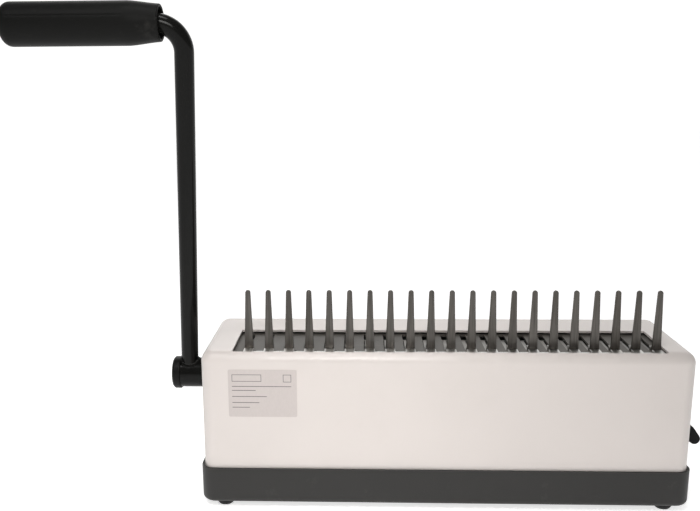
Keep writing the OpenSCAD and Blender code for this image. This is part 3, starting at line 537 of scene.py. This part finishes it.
# Y of the direction looked in: -1 is straight at the front, seen past the machine
brightness = {"From Min": -0.88, "From Max": -0.25, "To Min": BACKDROP_BEHIND, "To Max": BACKDROP_ELSEWHERE}
for socket, value in brightness.items():
    falloff.inputs[socket].default_value = value
world.node_tree.links.new(falloff.outputs["Result"], backdrop.inputs["Strength"])
bpy.context.scene.view_settings.view_transform = "Standard"

softbox("key", place=(0.04, 0.52, 0.52), aim=(0.03, 0.05, 0.07), width=0.2, height=0.15, power=0.3,
        colour=(1.0, 0.985, 0.965), spread=72.0)
softbox("top", place=(0.05, 0.3, 1.2), aim=(0.03, 0.1, 0.1), width=0.4, height=0.3, power=0.36, spread=60.0)
softbox("front", place=(0.4, -1.3, 1.2), aim=(0.0, -0.1, 0.1), width=0.9, height=0.8, power=3.0)
softbox("glint", place=(0.42, 0.55, 1.0), aim=(0.2, 0.1, 0.33), width=0.10, height=0.06, power=1.2)


def floor():
    """A plain pale sheet, far larger than the view."""
    bm = bmesh.new()
    bmesh.ops.create_grid(bm, x_segments=2, y_segments=2, size=FLOOR_SIZE)
    mesh = bpy.data.meshes.new("floor")
    bm.to_mesh(mesh)
    bm.free()
    piece = bpy.data.objects.new("floor", mesh)
    bpy.context.scene.collection.objects.link(piece)
    s = Shader("floor")
    s.set(Base_Color=s.mix(s.noise(3.0, 2.0), (0.88, 0.88, 0.88), (0.91, 0.91, 0.91)), Roughness=0.8)
    s.set(Specular_IOR_Level=0.1, Emission_Color=(1.0, 1.0, 1.0), Emission_Strength=FLOOR_GLOW)
    mesh.materials.append(s.material)


floor()


# ---- wound, moulded and welded pieces ----

def tube_mesh(name, paths, radius, sides=12):
    """Round wire along each path of points, with rounded-off ends."""
    bm = bmesh.new()
    for path in paths:
        path = [Vector(point) for point in path]
        side = None
        rings = []
        for i, point in enumerate(path):
            along = (path[min(i + 1, len(path) - 1)] - path[max(i - 1, 0)]).normalized()
            side = along.orthogonal() if side is None else side - along * side.dot(along)
            side.normalize()
            other = along.cross(side)
            rings.append([bm.verts.new(point + radius * (
                side * math.cos(2 * math.pi * k / sides) + other * math.sin(2 * math.pi * k / sides)
            )) for k in range(sides)])
        for low, high in zip(rings, rings[1:]):
            for k in range(sides):
                bm.faces.new((low[k], low[(k + 1) % sides], high[(k + 1) % sides], high[k]))
        ends = ((rings[0][::-1], path[0], path[0] - path[1]), (rings[-1], path[-1], path[-1] - path[-2]))
        for order, inner, step in ends:
            tip = bm.verts.new(inner + step.normalized() * radius * 0.6)
            for k in range(sides):
                bm.faces.new((order[k], order[(k + 1) % sides], tip))
    bmesh.ops.recalc_face_normals(bm, faces=bm.faces)
    return finished_mesh(name, bm)


def finished_mesh(name, bm, smooth=True):
    """Turns a bmesh into a mesh and frees it."""
    mesh = bpy.data.meshes.new(name)
    bm.to_mesh(mesh)
    bm.free()
    for face in mesh.polygons:
        face.use_smooth = smooth
    return mesh


def return_springs():
    """Two extension springs: a loop round the tie bar, close coils and a leg down to the punch bar."""
    low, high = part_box("return_springs")
    wire = 0.6 * MM
    coil = 3.0 * MM
    loop = 4.75 * MM
    middle = (low.y + high.y) / 2
    tie = high.z - loop - wire
    turns = 9
    loop_steps = 32
    coil_steps = turns * 24
    entry_steps = 12
    leg = 1.2 * MM
    coil_top = tie - loop - 1.3 * MM
    coil_low = low.z + 3.4 * MM
    paths = []
    for x in (low.x + coil + wire, high.x - coil - wire):
        path = []
        for i in range(loop_steps + 1):
            turn = math.radians(-65 + 335 * i / loop_steps)
            path.append((x, middle + loop * math.cos(turn), tie + loop * math.sin(turn)))
        for i in range(1, coil_steps + 1):
            turn = 2 * math.pi * turns * i / coil_steps
            reach = coil * min(1.0, i / entry_steps)
            sink = coil_top + (coil_low - coil_top) * i / coil_steps
            path.append((x + reach * math.sin(turn), middle + reach * math.cos(turn), sink))
        path.append((x, middle + coil, coil_low - leg))
        path.append((x, middle + coil, low.z + wire * 0.6))
        paths.append(path)
    piece = bpy.data.objects.new("return_springs_wound", tube_mesh("return_springs_wound", paths, wire))
    bpy.context.scene.collection.objects.link(piece)
    piece.data.materials.append(materials[slots["return_springs"]])
    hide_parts("return_springs")
    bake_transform(piece)


def torsion_spring():
    """Close coils round the shaft, with a leg bent into the side plate."""
    low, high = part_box("torsion_spring")
    pivot = Vector(joints["handle_pivot"]["pos_m"])
    wire = 1.0 * MM
    coil = (high.y - low.y) / 2 - wire
    turns = 6
    pitch = 1.92 * wire
    x0 = low.x + wire
    steps = turns * 32
    bend = 2 * MM
    bend_steps = 6
    path = []
    for i in range(steps + 1):
        turn = 2 * math.pi * turns * (i / steps - 1)
        x = x0 + turns * pitch * i / steps
        path.append((x, pivot.y + coil * math.cos(turn), pivot.z - coil * math.sin(turn)))
    leg_x = path[-1][0]
    leg_y = pivot.y + coil
    foot = low.z + wire
    for drop in (0.3, 0.7):
        path.append((leg_x, leg_y, pivot.z + (foot + bend - pivot.z) * drop))
    for i in range(bend_steps + 1):
        turn = math.radians(90 * i / bend_steps)
        path.append((leg_x + bend * (1 - math.cos(turn)), leg_y, foot + bend * (1 - math.sin(turn))))
    path.append((high.x - wire * 0.6, leg_y, foot))
    show("torsion_spring_wound", tube_mesh("torsion_spring_wound", [path], wire, 14), node="torsion_spring")


def lathe(bm, profile, angles, place):
    """Turns (x, radius) points about the X axis through place. radius may be a function of the angle."""
    rings = []
    for x, radius in profile:
        ring = []
        for angle in angles:
            r = radius(angle) if callable(radius) else radius
            ring.append(bm.verts.new(place + Vector((x, r * math.cos(angle), r * math.sin(angle)))))
        rings.append(ring)
    count = len(angles)
    for low, high in zip(rings, rings[1:]):
        for k in range(count):
            bm.faces.new((low[k], low[(k + 1) % count], high[(k + 1) % count], high[k]))
    return rings


def grip():
    """Moulded grip: hollow rounded rim at the arm, smooth taper, parting grooves and a gate dimple."""
    low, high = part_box("grip")
    length = high.x - low.x
    r = (high.z - low.z) / 2
    centre = Vector((low.x, (low.y + high.y) / 2, (low.z + high.z) / 2))
    neck = r - 2.15 * MM
    taper = 20 * MM
    end = 6 * MM
    hollow = 9.6 * MM
    bore = 5.67 * MM
    blind_end = 12 * MM
    sides = 96
    full_turn = 2 * math.pi
    grooves = [math.radians(17.6), math.radians(197.6)]
    groove_depth = 0.32 * MM
    groove_half = 0.5 * MM
    offsets = [-0.75, -0.42, -0.2, 0.0, 0.2, 0.42, 0.75]

    def from_groove(angle):
        """Distance round the grip to the nearer groove."""
        return min(abs(math.remainder(angle - g, full_turn)) for g in grooves) * r

    def grooved(base, share):
        """A radius that dips into the grooves, by share of their full depth."""
        def radius(angle):
            return base - groove_depth * share * max(0.0, 1 - (from_groove(angle) / groove_half) ** 2)
        return radius

    angles = [full_turn * k / sides for k in range(sides)]
    angles = [angle for angle in angles if from_groove(angle) > 2 * groove_half]
    angles += [(g + o * MM / r) % full_turn for g in grooves for o in offsets]
    angles.sort()

    profile = [(10.2 * MM, bore), (10.2 * MM, hollow - 2.6 * MM), (9.9 * MM, hollow - 1.5 * MM),
               (9.0 * MM, hollow - 0.6 * MM), (7.5 * MM, hollow - 0.2 * MM), (1.1 * MM, hollow)]
    rim = (neck - hollow) / 2
    rim_steps, taper_steps, body_steps, end_steps = 8, 12, 40, 10
    for i in range(rim_steps + 1):
        turn = math.radians(180 * i / rim_steps)
        profile.append((rim * (1 - math.sin(turn)), hollow + rim * (1 - math.cos(turn))))
    for i in range(1, taper_steps + 1):
        share = i / taper_steps
        swell = share * share * (3 - 2 * share)
        profile.append((rim + (taper - rim) * share, neck + (r - neck) * (0.45 * swell + 0.55 * share)))
    for i in range(1, body_steps + 1):
        share = i / body_steps
        fade = min(1.0, share / 0.06, (1 - share) / 0.05 + 0.15)
        profile.append((taper + (length - end - taper) * share, grooved(r, fade)))
    for i in range(1, end_steps + 1):
        turn = math.radians(90 * i / end_steps)
        profile.append((length - end + end * math.sin(turn), r - end + end * math.cos(turn)))
    dimple = 4.2 * MM
    profile += [(length, dimple + 0.5 * MM), (length - 0.12 * MM, dimple),
                (length - 0.5 * MM, dimple - 0.5 * MM), (length - 0.55 * MM, 0.8 * MM)]
    bm = bmesh.new()
    rings = lathe(bm, profile, angles, centre)
    bm.faces.new(rings[-1])
    # the bore's blind end closes the shell
    inner = lathe(bm, [(length - blind_end, bore)], angles, centre)[0]
    count = len(angles)
    for k in range(count):
        bm.faces.new((inner[k], inner[(k + 1) % count], rings[0][(k + 1) % count], rings[0][k]))
    bm.faces.new(inner[::-1])
    bmesh.ops.recalc_face_normals(bm, faces=bm.faces)
    mesh = finished_mesh("grip_moulded", bm)
    mesh.set_sharp_from_angle(angle=math.radians(50))
    show("grip_moulded", mesh, node="grip")


def weld_bead():
    """The painted weld where the arm's foot sits on the sleeve."""
    pivot = Vector(joints["handle_pivot"]["pos_m"])
    sleeve_low, sleeve_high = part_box("crank_sleeve")
    sleeve_r = (sleeve_high.z - sleeve_low.z) / 2
    grip_low, grip_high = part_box("grip")
    lean = math.atan2((grip_low.y + grip_high.y) / 2 - pivot.y, (grip_low.z + grip_high.z) / 2 - pivot.z)
    inset = math.radians(4.24)
    arm_r = 6.25 * MM
    foot_along_sleeve = 15.1 * MM
    bead = 1.55 * MM
    foot = Vector((sleeve_low.x + foot_along_sleeve, pivot.y, pivot.z))
    turn = Matrix.Rotation(-lean, 3, "X") @ Matrix.Rotation(-inset, 3, "Y")
    along, side, back = turn @ Vector((0, 0, 1)), turn @ Vector((1, 0, 0)), turn @ Vector((0, 1, 0))
    steps = 160
    bm = bmesh.new()
    rings = []
    for i in range(steps):
        a = 2 * math.pi * i / steps
        out = side * math.cos(a) + back * math.sin(a)
        start = foot + out * arm_r
        # the arm's surface line through start meets the sleeve's surface here
        p = Vector((0, start.y - pivot.y, start.z - pivot.z))
        d = Vector((0, along.y, along.z))
        b, c = p.dot(d), p.dot(p) - sleeve_r ** 2
        reach = (-b + math.sqrt(b * b - d.dot(d) * c)) / d.dot(d)
        meet = start + along * reach
        radial = Vector((0, meet.y - pivot.y, meet.z - pivot.z)).normalized()
        toe = (out - radial * out.dot(radial)).normalized()
        outer = (out + radial).normalized()
        ripple = 1.0 + 0.10 * math.sin(a * 26) + 0.12 * noise.noise(meet * 400)
        size = bead * ripple
        ring = []
        for share in (-0.25, 0.0, 0.25, 0.5, 0.75, 1.0, 1.25):
            up = along * size * 1.05 * (1 - share)
            outwards = toe * size * share
            bulge = outer * size * 0.16 * math.sin(math.pi * min(1.0, max(0.0, share)))
            sunk = -outer * 0.4 * MM if share < 0 or share > 1 else Vector((0, 0, 0))
            ring.append(bm.verts.new(meet + up + outwards + bulge + sunk))
        ring.append(bm.verts.new(meet - outer * 0.9 * MM))
        rings.append(ring)
    for i in range(steps):
        here, there = rings[i], rings[(i + 1) % steps]
        for k in range(len(here)):
            n = (k + 1) % len(here)
            bm.faces.new((here[k], here[n], there[n], there[k]))
    bmesh.ops.recalc_face_normals(bm, faces=bm.faces)
    show("arm_weld", finished_mesh("arm_weld", bm), body="handle", slot="arm_paint")


def table_scale():
    """Raised sheet-size ticks along the table's rear edge."""
    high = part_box("paper_table")[1]
    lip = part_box("throat_lip")[0]
    top = high.z
    first, step, count = -140 * MM, 10 * MM, 29
    half = 0.22 * MM
    y1 = min(lip.y, high.y) - 1.6 * MM

    def outline(x, y0, half_width, shrink, z):
        """The four corners of a tick at height z, drawn in by shrink at its ends."""
        near, far = y0 + shrink, y1 - shrink
        left, right = x - half_width, x + half_width
        corners = ((left, near), (right, near), (right, far), (left, far))
        return [bm.verts.new((px, py, z)) for px, py in corners]

    bm = bmesh.new()
    for i in range(count):
        x = first + i * step
        y0 = y1 - (5.5 * MM if i % 5 == 0 else 3.2 * MM)
        floor_ring = outline(x, y0, half, 0.0, top - 0.3 * MM)
        wall_ring = outline(x, y0, half, 0.0, top + 0.04 * MM)
        top_ring = outline(x, y0, half * 0.4, half, top + 0.14 * MM)
        for a, b in ((floor_ring, wall_ring), (wall_ring, top_ring)):
            for k in range(4):
                bm.faces.new((a[k], a[(k + 1) % 4], b[(k + 1) % 4], b[k]))
        bm.faces.new(top_ring)
        bm.faces.new(floor_ring[::-1])
    bmesh.ops.recalc_face_normals(bm, faces=bm.faces)
    show("table_scale", finished_mesh("table_scale", bm, smooth=False), body="machine_frame", slot="acetal")


return_springs()
torsion_spring()
grip()
weld_bead()
table_scale()


# ---- edges of the CAD pieces ----

# radius of the rounded edges of each node
EDGES_MM = {
    "case_cover": 0.5, "base_tray": 0.5, "opener_plate": 0.25, "comb_rest_rail": 0.2, "tine_comb": 0.3,
    "hook_plate": 0.25, "paper_table": 0.4, "throat_lip": 0.4, "chip_drawer": 0.5, "die_lower": 0.25,
    "die_upper": 0.3, "punch_bar": 0.4, "punch_pins": 0.08, "pin_keeper": 0.2, "side_plate_left": 0.3,
    "side_plate_right": 0.3, "chassis_plate": 0.3, "tie_bar": 0.4, "crank_sleeve": 0.5, "hub_cap": 0.6,
    "margin_lever": 0.7, "margin_stop": 0.3, "edge_guide": 0.4, "guide_knob": 0.25, "guide_nut": 0.2,
    "rubber_feet": 0.5, "main_shaft": 0.4, "shaft_bushes": 0.25, "rack_guides": 0.3, "guide_studs": 0.2,
    "rear_label": 0.05, "handle_arm": 0.3, "punch_pinions": 0.12, "hook_pinions": 0.12,
    "punch_racks": 0.12, "hook_racks": 0.12, "opener_screws": 0.1, "frame_screws": 0.12,
    "die_screws": 0.12, "bar_screws": 0.12, "foot_screws": 0.12, "shaft_clip": 0.1, "lever_clip": 0.1,
    "pinion_pins": 0.2,
}
OUT_OF_SIGHT = {
    "punch_racks", "punch_pinions", "hook_pinions", "hook_racks", "chassis_plate", "side_plate_left",
    "side_plate_right", "tie_bar", "die_lower", "die_upper", "punch_bar", "punch_pins", "pin_keeper",
    "margin_stop", "main_shaft", "shaft_bushes", "rack_guides", "guide_studs", "frame_screws", "die_screws",
    "bar_screws", "foot_screws", "shaft_clip", "lever_clip", "pinion_pins", "guide_nut", "hook_plate",
}
for node, width in EDGES_MM.items():
    if not (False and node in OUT_OF_SIGHT):
        soften(node, width * MM)
